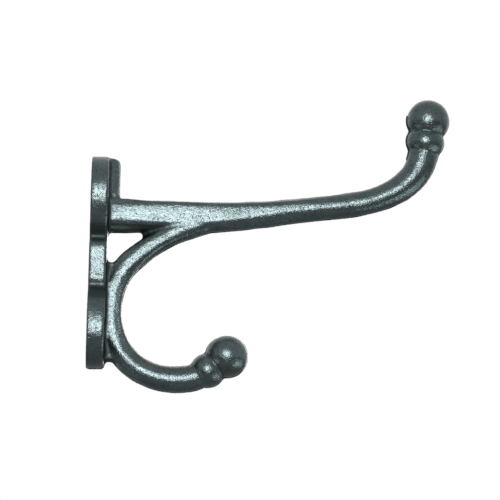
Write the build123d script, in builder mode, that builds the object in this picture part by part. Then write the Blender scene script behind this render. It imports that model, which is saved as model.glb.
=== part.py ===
# Harness hook: one grey iron casting. A waisted back plate carries a long upper arm,
# a lower hook that branches off the arm and closes on the plate, and a half-round rib.
# Millimetres. The origin is the centre of the plate's back face: +X points away from
# the wall, Y runs along the wall, +Z points up.

from build123d import *
from math import cos, radians, sin, sqrt
import os

os.makedirs("parts", exist_ok=True)

# Back plate
plate_height = 90.0
plate_thickness = 7.4
plate_edge_radius = 1.0
lobe_radius = 16.0
lobe_foot_width = 9.2
lobe_foot_sink = 1.9
waist_width = 18.5
waist_height = 24.0
waist_corner_radius = 6.0
waist_drop = 1.5
waist_notch_radius = 1.6

# Screw holes: two in each lobe, one either side of the spine
screw_spacing_across = 20.6
screw_spacing_up = 58.0
screw_hole_diameter = 4.8
screw_head_diameter = 8.8
screw_head_angle = 90.0

# Half-round rib on the plate, above the arm
rib_radius = 4.5
rib_top_gap = 0.8
rib_top_radius = 2.0

# Upper arm, which turns up into a round neck
arm_width = 10.4
arm_root_depth = 13.3
arm_root_height = 20.2
arm_corner_radius = 4.1
arm_straight_reach = 42.0
arm_slim_reach = 98.0
arm_slim_height = 25.9
arm_slim_diameter = 10.3
arm_bend_back = 14.8
arm_bend_drop = 31.6
arm_elbow_back = 5.4
arm_elbow_drop = 23.4
arm_neck_diameter = 12.7

# Lower hook, which leaves the arm's underside and curls under to a second neck
hook_width = 10.0
hook_branch_depth = 9.3
hook_corner_radius = 4.0
hook_start_reach = 64.0
hook_start_height = 21.6
hook_start_slope = 0.15
hook_split_reach = 45.0
hook_split_height = 17.0
hook_crotch_reach = 27.1
hook_crotch_height = 8.6
hook_turn_reach = 19.3
hook_turn_height = 1.9
hook_curl_radius = 26.5
hook_curl_reach = 35.8
hook_curl_height = -22.2
hook_bottom_diameter = 10.9
hook_neck_diameter = 11.3

# Balls and bead collars
upper_ball_reach = 142.0
upper_ball_height = 65.1
upper_ball_diameter = 18.0
upper_bead_diameter = 16.0
upper_lean = 83.0
lower_ball_reach = 58.4
lower_ball_height = -38.5
lower_ball_diameter = 17.8
lower_bead_diameter = 14.4
lower_lean = 38.0
bead_height = 8.4
bead_foot_inset = 0.4
groove_diameter_share = 0.87

# Modelling allowances: how far the arm starts inside the plate, the fullest rounding a
# section can take, and the margin that tells the waist notches from its straight sides
root_embed = 4.0
roundness_margin = 0.01
notch_margin = 0.1

lobe_centre = plate_height / 2 - lobe_radius
lobe_foot = (lobe_foot_width / 2, waist_height / 2 - waist_drop - lobe_foot_sink)
front_plane = Plane(origin=(plate_thickness, 0, 0), x_dir=(0, 1, 0), z_dir=(1, 0, 0))


def lean_direction(lean):
    return Vector(cos(radians(lean)), 0, sin(radians(lean)))


def ball_to_bead(ball_diameter, bead_diameter):
    # the ball is cut by the bead's upper rim, whose diameter is a share of the bead's
    rim_radius = bead_diameter * groove_diameter_share / 2
    return sqrt((ball_diameter / 2) ** 2 - rim_radius**2) + bead_height / 2


def cross_section(path, fraction, depth, width, roundness, corner_radius):
    # a rounded rectangle square to the path; roundness 1 makes it very nearly a circle
    full_radius = min(depth, width) / 2 - roundness_margin
    radius = corner_radius + (full_radius - corner_radius) * roundness
    with BuildSketch(Plane(origin=path @ fraction, x_dir=(0, 1, 0), z_dir=path % fraction)) as section:
        RectangleRounded(width, depth, radius)
    return section.sketch


upper_ball = Vector(upper_ball_reach, 0, upper_ball_height)
upper_bead = upper_ball - lean_direction(upper_lean) * ball_to_bead(upper_ball_diameter, upper_bead_diameter)
lower_ball = Vector(lower_ball_reach, 0, lower_ball_height)
lower_bead = lower_ball - lean_direction(lower_lean) * ball_to_bead(lower_ball_diameter, lower_bead_diameter)

# Centreline of the upper arm: straight out of the plate, then one smooth rise and turn
with BuildLine(Plane.XZ) as arm_line:
    Line((plate_thickness - root_embed, arm_root_height), (arm_straight_reach, arm_root_height))
    Spline(
        (arm_straight_reach, arm_root_height),
        (arm_slim_reach, arm_slim_height),
        (upper_ball_reach - arm_bend_back, upper_ball_height - arm_bend_drop),
        (upper_ball_reach - arm_elbow_back, upper_ball_height - arm_elbow_drop),
        (upper_bead.X, upper_bead.Z),
        tangents=[(1, 0), (cos(radians(upper_lean)), sin(radians(upper_lean)))],
    )
arm_path = arm_line.wires()[0]

# Centreline of the lower hook: off the arm, down along the plate, round and up to the bead
curl_side = (hook_curl_reach - hook_curl_radius, hook_curl_height)
curl_bottom = (hook_curl_reach, hook_curl_height - hook_curl_radius)
with BuildLine(Plane.XZ) as hook_line:
    Spline(
        (hook_start_reach, hook_start_height),
        (hook_split_reach, hook_split_height),
        (hook_crotch_reach, hook_crotch_height),
        (hook_turn_reach, hook_turn_height),
        curl_side,
        tangents=[(-1, -hook_start_slope), (0, -1)],
    )
    CenterArc((hook_curl_reach, hook_curl_height), hook_curl_radius, 180, 90)
    Spline(
        curl_bottom,
        (lower_bead.X, lower_bead.Z),
        tangents=[(1, 0), (cos(radians(lower_lean)), sin(radians(lower_lean)))],
    )
hook_path = hook_line.wires()[0]

# Along the arm: fraction of its length, share of the root's extra depth that is left,
# share of the neck's extra diameter that has grown, and how round the section is
arm_taper = [
    (0.0, 1.0, 0.0, 0.0),
    (0.254, 1.0, 0.0, 0.05),
    (0.378, 0.62, 0.0, 0.45),
    (0.504, 0.14, 0.0, 0.85),
    (0.634, 0.0, 0.0, 1.0),
    (0.739, 0.0, 0.06, 1.0),
    (0.813, 0.0, 0.27, 1.0),
    (0.875, 0.0, 0.52, 1.0),
    (0.925, 0.0, 0.74, 1.0),
    (0.965, 0.0, 0.94, 1.0),
    (1.0, 0.0, 1.0, 1.0),
]

# Along the hook: fraction of its length, share of the full section, share of the extra
# depth at the bottom, and how round the section is. It starts small, inside the arm.
hook_taper = [
    (0.0, 0.55, 0.0, 0.6),
    (0.08, 0.82, 0.0, 0.2),
    (0.155, 1.0, 0.2, 0.0),
    (0.24, 1.0, 0.1, 0.0),
    (0.34, 1.0, 0.0, 0.0),
    (0.44, 1.0, 0.0, 0.3),
    (0.57, 1.0, 0.1, 0.9),
    (0.68, 1.0, 0.4, 1.0),
    (0.79, 1.0, 0.75, 1.0),
    (0.888, 1.0, 1.0, 1.0),
    (0.95, 1.0, 1.1, 1.0),
    (1.0, 1.0, 1.2, 1.0),
]

arm_sections = []
for fraction, root_share, neck_share, roundness in arm_taper:
    swell = neck_share * (arm_neck_diameter - arm_slim_diameter)
    depth = arm_slim_diameter + root_share * (arm_root_depth - arm_slim_diameter) + swell
    width = arm_slim_diameter + (1 - roundness) * (arm_width - arm_slim_diameter) + swell
    arm_sections.append(cross_section(arm_path, fraction, depth, width, roundness, arm_corner_radius))

hook_sections = []
for fraction, share, swell_share, roundness in hook_taper:
    depth = share * (hook_branch_depth + swell_share * (hook_bottom_diameter - hook_branch_depth))
    width = share * (hook_width + swell_share * (hook_bottom_diameter - hook_width))
    hook_sections.append(cross_section(hook_path, fraction, depth, width, roundness, share * hook_corner_radius))

with BuildPart() as harness_hook:
    # back plate: two egg-shaped lobes and a waist block in one outline
    with BuildSketch(Plane.YZ) as plate_outline:
        with BuildLine() as lobe_line:
            crown = CenterArc((0, lobe_centre), lobe_radius, 0, 180)
            right = TangentArc(crown @ 0, (lobe_foot[0], lobe_foot[1]), tangent=(0, -1))
            left = TangentArc(crown @ 1, (-lobe_foot[0], lobe_foot[1]), tangent=(0, -1))
            Line(right @ 1, left @ 1)
        make_face()
        mirror(about=Plane.XZ)
        with Locations((0, -waist_drop)):
            RectangleRounded(waist_width, waist_height, waist_corner_radius)
        notches = plate_outline.vertices().filter_by(lambda corner: abs(corner.X) < waist_width / 2 - notch_margin)
        fillet(notches, waist_notch_radius)
    extrude(amount=plate_thickness)
    front_edges = harness_hook.faces().sort_by(Axis.X)[-1].edges()
    fillet(front_edges, plate_edge_radius)

    # half-round rib from inside the arm up to just under the plate's top
    rib_top = plate_height / 2 - rib_top_gap
    with BuildSketch(Plane.XZ) as rib_profile:
        with Locations((plate_thickness, arm_root_height)):
            Rectangle(rib_radius, rib_top - arm_root_height, align=(Align.MIN, Align.MIN))
        fillet(rib_profile.vertices().group_by(Axis.Y)[-1].sort_by(Axis.X)[-1], rib_top_radius)
    revolve(axis=Axis((plate_thickness, 0, 0), (0, 0, 1)))

    add(loft(arm_sections))
    add(loft(hook_sections))

    # balls and bead collars, each bead a barrel square to its own neck
    with Locations(upper_ball):
        Sphere(upper_ball_diameter / 2)
    with Locations(lower_ball):
        Sphere(lower_ball_diameter / 2)
    for bead, lean, bead_diameter, neck_diameter in (
        (upper_bead, upper_lean, upper_bead_diameter, arm_neck_diameter),
        (lower_bead, lower_lean, lower_bead_diameter, hook_neck_diameter),
    ):
        across = Vector(sin(radians(lean)), 0, -cos(radians(lean)))
        foot_radius = neck_diameter / 2 - bead_foot_inset
        rim_radius = bead_diameter * groove_diameter_share / 2
        with BuildSketch(Plane(origin=bead, x_dir=across, z_dir=(0, -1, 0))):
            with BuildLine():
                foot = Line((0, -bead_height / 2), (foot_radius, -bead_height / 2))
                barrel = ThreePointArc(foot @ 1, (bead_diameter / 2, 0), (rim_radius, bead_height / 2))
                Polyline(barrel @ 1, (0, bead_height / 2), foot @ 0)
            make_face()
        revolve(axis=Axis(bead, lean_direction(lean)))

    # countersunk screw holes through the lobes
    with Locations(front_plane):
        with GridLocations(screw_spacing_across, screw_spacing_up, 2, 2):
            CounterSinkHole(screw_hole_diameter / 2, screw_head_diameter / 2, plate_thickness, screw_head_angle)

harness_hook.part.label = "harness_hook"
export_step(harness_hook.part, "parts/harness_hook.step")
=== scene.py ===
from math import cos, radians, sin

import bpy
import numpy as np
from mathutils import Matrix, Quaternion, Vector, noise


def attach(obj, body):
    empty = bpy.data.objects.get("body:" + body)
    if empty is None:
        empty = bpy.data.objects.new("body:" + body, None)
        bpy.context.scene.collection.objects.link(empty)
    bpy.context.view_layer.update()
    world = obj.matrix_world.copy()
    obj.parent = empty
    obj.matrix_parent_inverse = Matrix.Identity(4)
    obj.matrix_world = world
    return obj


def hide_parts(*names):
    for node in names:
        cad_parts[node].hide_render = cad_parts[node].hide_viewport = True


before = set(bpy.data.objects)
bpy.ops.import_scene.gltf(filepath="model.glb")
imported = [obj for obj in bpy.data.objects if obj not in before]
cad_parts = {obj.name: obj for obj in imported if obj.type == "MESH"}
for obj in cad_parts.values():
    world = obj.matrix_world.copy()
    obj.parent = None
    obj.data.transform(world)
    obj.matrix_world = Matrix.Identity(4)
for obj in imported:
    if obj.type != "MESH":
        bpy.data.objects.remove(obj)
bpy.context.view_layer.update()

# The casting: grey iron poured in a two-part sand mould that opens along the hook's own
# middle plane. Its skin keeps the sand's grain, softened corners and a thin parting line
# where the two halves of the mould met. It is one piece and screws to the wall.
mm = 0.001
skin_voxel = 0.5 * mm
plate_front = 7.4 * mm

bpy.ops.object.select_all(action="DESELECT")
casting = bpy.data.objects.new("iron_casting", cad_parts["harness_hook"].data.copy())
bpy.context.scene.collection.objects.link(casting)
bpy.context.view_layer.objects.active = casting
casting.select_set(True)
bpy.ops.object.mode_set(mode="EDIT")
bpy.ops.mesh.select_all(action="SELECT")
bpy.ops.mesh.remove_doubles(threshold=0.001 * mm)
bpy.ops.object.mode_set(mode="OBJECT")

# Webs: metal fills the narrow crevices, between hook and plate and in the crotch. Each web
# has its half width, and its corners' places out from the wall and up, in millimetres.
plate_web = (2.6 * mm, ((3.4, -0.9), (12.0, -0.9), (12.0, -41.2), (3.4, -41.2)))
crotch_web = (1.7 * mm, ((22.6, 18.0), (22.2, 4.0), (28.0, 8.6), (45.0, 17.0)))
corners_in_turn = (0, 1, 3, 2)  # a new plane's vertices, in the order that goes round it
for web_half_width, corners in (plate_web, crotch_web):
    bpy.ops.object.select_all(action="DESELECT")
    bpy.ops.mesh.primitive_plane_add(size=1.0)
    web = bpy.context.active_object
    for (reach, height), index in zip(corners, corners_in_turn):
        web.data.vertices[index].co = (reach * mm, -web_half_width, height * mm)
    bpy.ops.object.mode_set(mode="EDIT")
    bpy.ops.mesh.select_all(action="SELECT")
    bpy.ops.mesh.extrude_region_move(TRANSFORM_OT_translate={"value": (0, 2 * web_half_width, 0)})
    bpy.ops.mesh.select_all(action="SELECT")
    bpy.ops.mesh.normals_make_consistent(inside=False)
    bpy.ops.object.mode_set(mode="OBJECT")
    casting.select_set(True)
    bpy.context.view_layer.objects.active = casting
    bpy.ops.object.join()


def read_skin(what):
    """What each vertex of the casting holds, its "co" or its "normal", as rows of three."""
    rows = np.zeros(len(casting.data.vertices) * 3)
    casting.data.vertices.foreach_get(what, rows)
    return rows.reshape(-1, 3)


def move_skin(places):
    """Puts the casting's vertices at these places."""
    casting.data.vertices.foreach_set("co", places.ravel())
    casting.data.update()


def remesh_skin():
    """Makes the casting one even skin again, with what overlaps fused."""
    skin = casting.modifiers.new("even skin", "REMESH")
    skin.mode = "VOXEL"
    skin.voxel_size = skin_voxel
    bpy.ops.object.modifier_apply(modifier=skin.name)


def swell(amounts):
    """Moves each vertex out along its normal by its own amount."""
    move_skin(read_skin("co") + read_skin("normal") * amounts[:, None])


def ease(start, end, value):
    """0 before start and 1 after end, with a smooth rise between them."""
    share = np.clip((value - start) / (end - start), 0.0, 1.0)
    return share * share * (3 - 2 * share)


# Cast fillets: the skin is swollen, fused and shrunk again, which fills the inner corners
small_fillet, fillet_gain = 0.25, 1.35  # millimetres all over, and what a full one adds


def fillet_radius(places):
    """Cast fillets are full by the plate's front, in the middle and below the rib."""
    x, y, z = places.T
    near_plate = 1 - ease(13 * mm, 32 * mm, x)
    off_plate = ease(plate_front - 0.6 * mm, plate_front - 0.1 * mm, x)
    in_middle = 1 - ease(2.6 * mm, 4.4 * mm, np.abs(y))
    below_rib = 1 - ease(28.5 * mm, 31 * mm, z)
    return (small_fillet + fillet_gain * near_plate * off_plate * in_middle * below_rib) * mm


remesh_skin()
swell(fillet_radius(read_skin("co")))
remesh_skin()
swell(-fillet_radius(read_skin("co")))

# Flats: arm and branch have flat flanks in one plane, fuller above the arm's middle line.
# They end where the arm slims, on the hook's curl, at the plate's front and by the rib.
flank = 5.15 * mm
arm_height, arm_rise = 20.2 * mm, 5.0 * mm
straight_reach, slim_reach = 42 * mm, 98 * mm

places = read_skin("co")
x, y, z = places.T
off_middle = np.abs(y)
before_slim = 1 - ease(78 * mm, 108 * mm, x)
above_curl = ease(-37 * mm, -29 * mm, z) * ((z > 0) | (x < 24 * mm))
on_rib = ease(25.8 * mm, 27.0 * mm, z) * (1 - ease(12 * mm, 14 * mm, x))
off_front = ease(plate_front + 0.1 * mm, plate_front + 0.7 * mm, x)
flatness = above_curl * before_slim * off_front * (1 - on_rib)

arm_middle = arm_height + arm_rise * ease(straight_reach, slim_reach, x)
above_middle = ease(-1.5 * mm, 1.5 * mm, z - arm_middle)
on_branch = 1 - ease(8 * mm, 13 * mm, z)
on_hook = 1 - ease(-16 * mm, -4 * mm, z)
fullness = -0.17 + 0.67 * above_middle  # 0 leaves a flank as it is, and more makes it squarer
fullness += 0.3 * on_branch + 0.4 * on_hook

squared = flank * (1 - (1 - np.clip(off_middle / flank, 0, 1)) ** (1 + fullness * flatness))
outer = ease(2.6 * mm, 3.8 * mm, off_middle) * (off_middle < flank)
places[:, 1] = y + np.sign(y) * (squared - off_middle) * outer
move_skin(places)

soften = casting.modifiers.new("softened corners", "SMOOTH")
soften.factor = 0.5
soften.iterations = 3
bpy.ops.object.modifier_apply(modifier=soften.name)

# Parting line: rows of vertices either side of the middle plane, the middle row raised. It
# stands highest as flash, on the wall side of the upper ball and bead.
parting_half_width = 0.35 * mm
parting_height = 0.16 * mm
flash_reach, flash_foot, flash_top = 137 * mm, 48 * mm, 67 * mm
flash_share = 3.5
ripple_length, ripple_share = 6 * mm, 1.2
least_share = 0.1
for offset in (-parting_half_width, 0.0, parting_half_width):
    bpy.ops.object.mode_set(mode="EDIT")
    bpy.ops.mesh.select_all(action="SELECT")
    bpy.ops.mesh.bisect(plane_co=(0, offset, 0), plane_no=(0, 1, 0))
    bpy.ops.object.mode_set(mode="OBJECT")
for vertex in casting.data.vertices:
    on_line = abs(vertex.co.y) < 0.02 * mm
    off_wall = vertex.co.x > 1.0 * mm
    if on_line and off_wall:
        flash = vertex.co.x < flash_reach and flash_foot < vertex.co.z < flash_top
        ripple = ripple_share * noise.noise(vertex.co / ripple_length)
        unevenness = (flash_share if flash else 1.0) + ripple
        vertex.co += vertex.normal * parting_height * max(unevenness, least_share)

# Sand skin: a slow swell of the mould's face and the grit of its sand, each with its grain
# and its height in millimetres
for name, grain, height in (("mould swell", 9.0, 0.2), ("sand grit", 1.1, 0.12)):
    texture = bpy.data.textures.new(name, "CLOUDS")
    texture.noise_scale = grain * mm
    texture.noise_depth = 1
    rough = casting.modifiers.new(name, "DISPLACE")
    rough.texture = texture
    rough.texture_coords = "LOCAL"
    rough.strength = height * mm
    rough.mid_level = 0.5
    bpy.ops.object.modifier_apply(modifier=rough.name)
bpy.ops.object.shade_smooth()

# Depth of grooves: how far each vertex lies below its neighbours' smoothed skin
smoothing_rounds = 14
places = read_skin("co")
normals = read_skin("normal")
ends = np.zeros(len(casting.data.edges) * 2, int)
casting.data.edges.foreach_get("vertices", ends)
ends = ends.reshape(-1, 2)
neighbours = np.bincount(ends.ravel(), minlength=len(places))
smoothed = places.copy()
for _ in range(smoothing_rounds):
    total = np.zeros_like(smoothed)
    np.add.at(total, ends[:, 0], smoothed[ends[:, 1]])
    np.add.at(total, ends[:, 1], smoothed[ends[:, 0]])
    smoothed = total / neighbours[:, None]
depth = ((smoothed - places) * normals).sum(axis=1)

# The grooves by the balls and beads are sunk by their own depth again
x, y, z = places.T
by_upper_bead = (x > 120 * mm) & (z > 45 * mm)
by_lower_bead = (x > 42 * mm) & (z < -24 * mm)
sinking = (by_upper_bead | by_lower_bead) * np.maximum(depth, 0)
move_skin(places - normals * sinking[:, None])

# Painted shade: the colour is darkened where shade falls, in grooves, in the notches of the
# plate's edge, on the webs and under the arm. It is kept as an attribute for the finish.
waist_drop = 1.5 * mm
notch_reach = 12.5 * mm
groove_shade, notch_shade, under_arm_shade = 0.8, 0.75, 0.9

in_groove = groove_shade * ease(0.05 * mm, 0.3 * mm, depth)

from_notch = np.abs(np.abs(z + waist_drop) - notch_reach)
in_notch = notch_shade * (x < plate_front) * (1 - ease(2 * mm, 5.5 * mm, from_notch))

on_plate_web = (x > plate_front) & (x < 12.5 * mm) & (z < 0) & (z > -44 * mm)
branch_line = 3 * mm + (x - 21 * mm) * 0.5
on_crotch_web = (x > 21 * mm) & (x < 40 * mm) & (z < 16.5 * mm) & (z > branch_line)
web_edge = np.where(z < -35 * mm, 5.0, 4.0) * mm
on_web = (on_plate_web | on_crotch_web) * (1 - ease(3.0 * mm, web_edge, np.abs(y)))

in_triangle = (x > plate_front) & (x < 40 * mm) & (z > 5 * mm) & (z < 16 * mm)
above_branch = ease(2 * mm, 4 * mm, z - 0.6 * (x - 19 * mm))
facing_down = ease(0.15, 0.6, -normals[:, 2])
under_arm = under_arm_shade * in_triangle * above_branch * facing_down

painted_shade = casting.data.attributes.new("painted_shade", "FLOAT", "POINT")
painted_shade_amount = np.max([in_groove, in_notch, on_web, under_arm], axis=0)
painted_shade.data.foreach_set("value", painted_shade_amount.astype(np.float32))

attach(casting, "root")
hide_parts("harness_hook")


def srgb(hex_code):
    """A hex colour as the linear colour that the shader reads."""
    channels = [int(hex_code[i:i + 2], 16) / 255 for i in (1, 3, 5)]
    return [c / 12.92 if c <= 0.04045 else ((c + 0.055) / 1.055) ** 2.4 for c in channels] + [1.0]


def add_node(tree, kind, settings=None, **inputs):
    """Adds a node. settings are its properties. inputs are values, or the sockets that feed
    it, each under its name or, as i6, under its number."""
    node = tree.nodes.new(kind)
    for name, value in (settings or {}).items():
        setattr(node, name, value)
    for name, value in inputs.items():
        numbered = name[0] == "i" and name[1:].isdigit()
        socket = node.inputs[int(name[1:]) if numbered else name.replace("_", " ")]
        if isinstance(value, bpy.types.NodeSocket):
            tree.links.new(value, socket)
        else:
            socket.default_value = value
    return node


# Oiled as-cast grey iron: the sand's grain breaks the highlights up into sparks, and a thin
# dark oxide gives the metal its green-grey tint. Moulding sand is finer than a pixel of the
# render, so its grain and pores are drawn as coarse as they need to show.
grain_size, grain_height = 0.55 * mm, 0.125 * mm
blotch_size, pore_size = 6 * mm, 0.9 * mm
# The third colour is near-black: it darkens the random pores and, as painted shade, the grooves,
# notches, webs and the arm's underside
iron_thin_oxide, iron_thick_oxide, pore_and_shade_colour = "#4e5a5b", "#444f50", "#252b2b"
clean_roughness, pore_and_shade_roughness = 0.2, 0.5

iron = bpy.data.materials.new("oiled_cast_iron")
iron.use_nodes = True
tree = iron.node_tree
shader = tree.nodes["Principled BSDF"]
shader.inputs["Metallic"].default_value = 1.0
place = add_node(tree, "ShaderNodeTexCoord").outputs["Object"]
grain = add_node(
    tree, "ShaderNodeTexNoise", Vector=place, Scale=1 / grain_size, Detail=2.0, Roughness=0.6
)
blotch = add_node(
    tree, "ShaderNodeTexNoise", Vector=place, Scale=1 / blotch_size, Detail=3.0, Roughness=0.6
)
tint = add_node(tree, "ShaderNodeValToRGB", Fac=blotch.outputs["Fac"])
tint.color_ramp.elements[0].position = 0.35
tint.color_ramp.elements[0].color = srgb(iron_thick_oxide)
tint.color_ramp.elements[1].position = 0.65
tint.color_ramp.elements[1].color = srgb(iron_thin_oxide)
pores = add_node(tree, "ShaderNodeTexNoise", Vector=place, Scale=1 / pore_size, Detail=1.0)
pored = add_node(
    tree, "ShaderNodeMapRange",
    Value=pores.outputs["Fac"], From_Min=0.58, From_Max=0.68, To_Max=0.6,
)
# Painted shade: the casting's attribute darkens the colour and dulls it in grooves, notches, webs
# and under the arm, and the pores darken it at random
deep = add_node(tree, "ShaderNodeAttribute", {"attribute_name": "painted_shade"})
pores_and_shade = add_node(
    tree, "ShaderNodeMath", {"operation": "MAXIMUM"},
    i0=pored.outputs["Result"], i1=deep.outputs["Fac"],
)
pore_and_shade_mix = add_node(
    tree, "ShaderNodeMix", {"data_type": "RGBA"},
    i0=pores_and_shade.outputs[0], i6=tint.outputs["Color"], i7=srgb(pore_and_shade_colour),
)
tree.links.new(pore_and_shade_mix.outputs[2], shader.inputs["Base Color"])
dull = add_node(
    tree, "ShaderNodeMapRange",
    Value=pores_and_shade.outputs[0], To_Min=clean_roughness, To_Max=pore_and_shade_roughness,
)
tree.links.new(dull.outputs["Result"], shader.inputs["Roughness"])
relief = add_node(
    tree, "ShaderNodeBump", Strength=1.0, Distance=grain_height, Height=grain.outputs["Fac"]
)
tree.links.new(relief.outputs["Normal"], shader.inputs["Normal"])
casting.data.materials.clear()
casting.data.materials.append(iron)

# Floor: a plain pale floor well below the hook. A gloss sees it darker than the camera does,
# which keeps the metal's undersides dark.
floor_drop, floor_radius = 0.45, 8.0
floor_colour, floor_in_gloss = "#f2f2f2", "#a2a2a2"

bpy.ops.object.select_all(action="DESELECT")
bpy.ops.mesh.primitive_circle_add(
    vertices=64, radius=floor_radius, fill_type="NGON", location=(0, 0, -floor_drop)
)
floor = bpy.context.active_object
floor.name = "floor"
bpy.ops.object.transform_apply(location=True, rotation=True, scale=True)
pale = bpy.data.materials.new("pale_floor")
pale.use_nodes = True
tree = pale.node_tree
shader = tree.nodes["Principled BSDF"]
shader.inputs["Roughness"].default_value = 0.9
glossy = add_node(tree, "ShaderNodeLightPath").outputs["Is Glossy Ray"]
shade = add_node(
    tree, "ShaderNodeMix", {"data_type": "RGBA"},
    i0=glossy, i6=srgb(floor_colour), i7=srgb(floor_in_gloss),
)
tree.links.new(shade.outputs[2], shader.inputs["Base Color"])
floor.data.materials.append(pale)

# Surroundings: white where the camera, a gloss or a clear piece sees them, and a little
# dimmer as light
light_strength, seen_strength = 0.85, 1.0

world = bpy.data.worlds.new("studio")
bpy.context.scene.world = world
world.use_nodes = True
tree = world.node_tree
background = tree.nodes["Background"]
background.inputs["Color"].default_value = srgb("#ffffff")
rays = add_node(tree, "ShaderNodeLightPath").outputs
seen = rays["Is Camera Ray"]
for ray in ("Is Glossy Ray", "Is Transmission Ray"):
    either = add_node(tree, "ShaderNodeMath", {"operation": "MAXIMUM"}, i0=seen, i1=rays[ray])
    seen = either.outputs[0]
strength = add_node(
    tree, "ShaderNodeMapRange", Value=seen, To_Min=light_strength, To_Max=seen_strength
)
tree.links.new(strength.outputs["Result"], background.inputs["Strength"])

# Camera: the photograph looks up at the hook from 11 degrees below, almost square to it
view_pitch, view_yaw, view_roll = radians(11.0), radians(2.5), radians(1.18)
view_distance = 1.1
view_width = 500 * 0.42 * mm  # the frame's 500 pixels, each 0.42 mm wide at the hook
sensor_width = 36.0
aim = Vector((67.3, 0, 7.14)) * mm
toward_camera = Vector((
    -sin(view_yaw) * cos(view_pitch),
    -cos(view_yaw) * cos(view_pitch),
    -sin(view_pitch),
))

camera_data = bpy.data.cameras.new("camera")
camera_data.sensor_width = sensor_width
camera_data.lens = sensor_width * view_distance / view_width
camera_data.clip_start = 0.01
camera = bpy.data.objects.new("camera", camera_data)
camera.location = aim + toward_camera * view_distance
level_view = (-toward_camera).to_track_quat("-Z", "Y")
camera.rotation_euler = (level_view @ Quaternion((0, 0, 1), view_roll)).to_euler()
bpy.context.scene.collection.objects.link(camera)
bpy.context.scene.camera = camera


def soft_box(name, elevation, azimuth, distance, width, height, power, hex_code):
    """An area lamp aimed at the hook, in degrees, metres and watts. Azimuth 0 is the side
    that the camera looks from, and 90 is the hook's outer end."""
    lamp = bpy.data.lights.new(name, "AREA")
    lamp.shape = "RECTANGLE"
    lamp.size, lamp.size_y, lamp.energy = width, height, power
    lamp.color = srgb(hex_code)[:3]
    lamp_object = bpy.data.objects.new(name, lamp)
    up, round_hook = radians(elevation), radians(azimuth)
    away = Vector((sin(round_hook) * cos(up), -cos(round_hook) * cos(up), sin(up)))
    lamp_object.location = aim + away * distance
    lamp_object.rotation_euler = away.to_track_quat("Z", "Y").to_euler()
    bpy.context.scene.collection.objects.link(lamp_object)
    return lamp_object


# Lamps: a soft box by the camera, a dim one across from it, and small low ones that line
# the hook's undersides
soft_box("key", 4.5, -2.5, 1.0, 0.42, 0.42, 9.4, "#fff7f8")
far_key = soft_box("far_key", 6.0, 172.0, 1.0, 0.42, 0.42, 1.6, "#fff7f8")
far_key.visible_camera = False  # it stands behind the hook, in the camera's view
soft_box("low_right", -43.7, 64.5, 0.6, 0.08, 0.08, 0.3, "#ffffff")
soft_box("right_fill", -36.0, 84.0, 0.7, 0.6, 0.4, 1.5, "#ffffff")
soft_box("left_fill", -35.0, -74.0, 0.7, 0.5, 0.35, 0.5, "#ffffff")
soft_box("low_left", -27.0, -74.6, 0.6, 0.08, 0.08, 0.12, "#eef4ff")

bpy.context.scene.view_settings.view_transform = "Standard"
